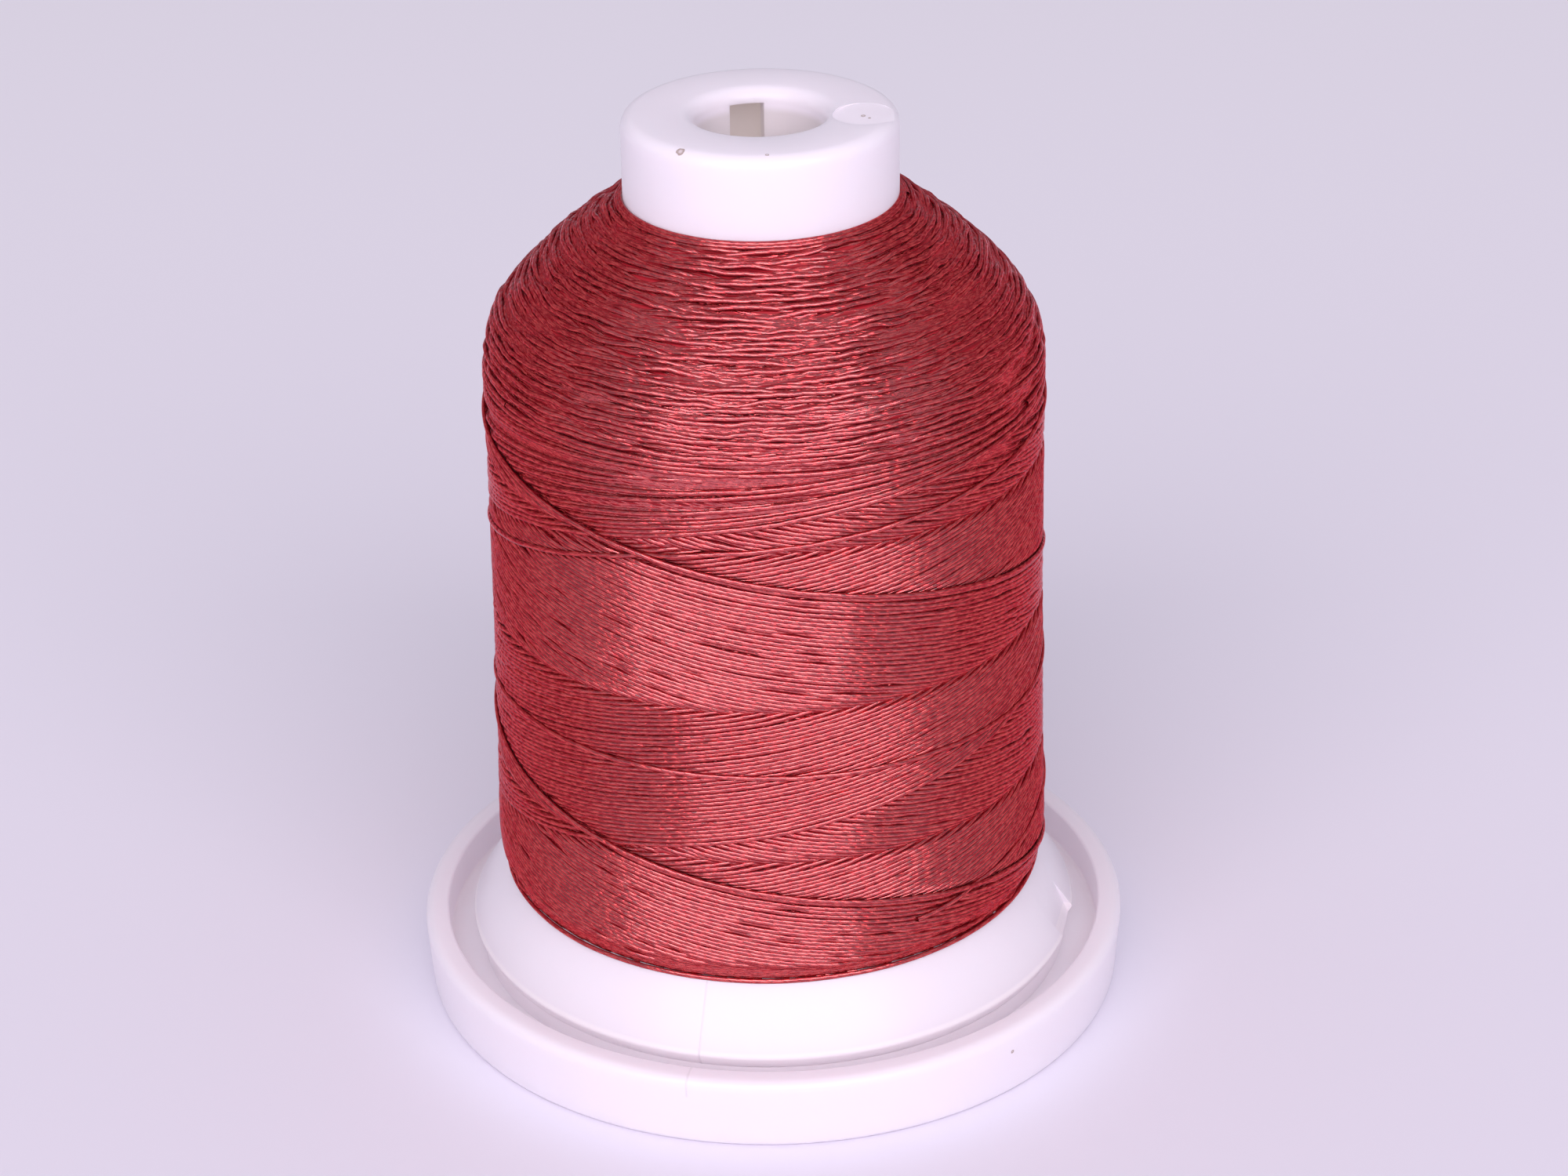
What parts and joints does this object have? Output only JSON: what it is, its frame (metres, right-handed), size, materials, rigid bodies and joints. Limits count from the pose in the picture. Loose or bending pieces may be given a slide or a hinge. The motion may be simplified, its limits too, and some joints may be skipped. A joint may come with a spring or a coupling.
{
  "type": "spool of thread",
  "caption": "Snap-base spool wound with thread: a collared barrel with a conical flange on a round dished base that slides down to open its thread-holding groove.",
  "frame": {"origin": "centre of the base's underside, on the spool's axis", "axes": "+Z along the spool's axis, from the base up to the collar; the thread-catch notch and the gate mark lie 13.4 degrees from +X towards -Y"},
  "size_m": [0.046, 0.046, 0.0589],
  "materials": {
    "white_base": "moulded, semi-gloss white",
    "white_body": "moulded, semi-gloss white",
    "wound_thread": "satin polyester thread, wound",
    "outer_thread": "satin polyester thread"
  },
  "bodies": {
    "base": {"snap_base": "white_base"},
    "spool": {"spool_body": "white_body", "thread_core": "wound_thread", "thread_turns": "outer_thread"}
  },
  "joints": [
    {"name": "base_slide", "type": "slide", "parent": "base", "child": "spool", "axis": [0, 0, 1], "range_m": [0, 0.0045]}
  ]
}
